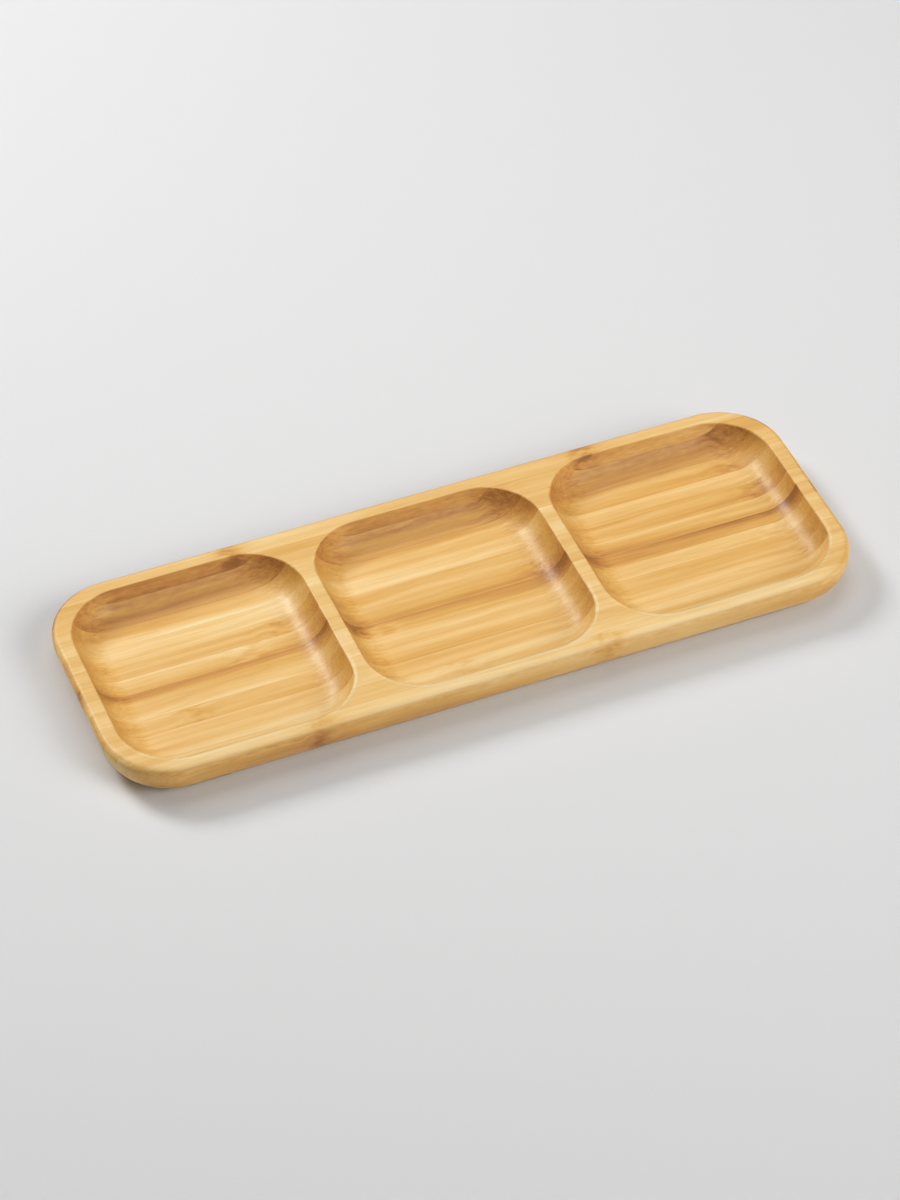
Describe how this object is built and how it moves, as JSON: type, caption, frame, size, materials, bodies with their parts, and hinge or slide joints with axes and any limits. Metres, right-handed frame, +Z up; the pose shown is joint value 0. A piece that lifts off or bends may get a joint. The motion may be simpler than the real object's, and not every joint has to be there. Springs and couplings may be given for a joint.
{
  "type": "divided compartment plate",
  "caption": "Long rectangular bamboo serving plate with a row of square coved pockets, rounded corners and a bullnosed underside, glued up from full-length strips.",
  "frame": {"origin": "middle of the flat underside", "axes": "+X along the plate's length, +Y across it to the back edge, +Z up out of the pockets"},
  "size_m": [0.355, 0.126, 0.018],
  "materials": {
    "pale_bamboo": "satin oil",
    "golden_bamboo": "satin oil",
    "tan_bamboo": "satin oil",
    "brown_bamboo": "satin oil"
  },
  "bodies": {
    "root": {"back_edge_strip": "golden_bamboo", "back_wall_strip": "brown_bamboo", "floor_strip_1": "golden_bamboo", "floor_strip_2": "pale_bamboo", "floor_strip_3": "golden_bamboo", "floor_strip_4": "golden_bamboo", "floor_strip_5": "brown_bamboo", "floor_strip_6": "pale_bamboo", "floor_strip_7": "tan_bamboo", "floor_strip_8": "tan_bamboo", "floor_strip_9": "pale_bamboo", "front_wall_strip": "tan_bamboo", "front_edge_strip": "golden_bamboo"}
  },
  "joints": []
}
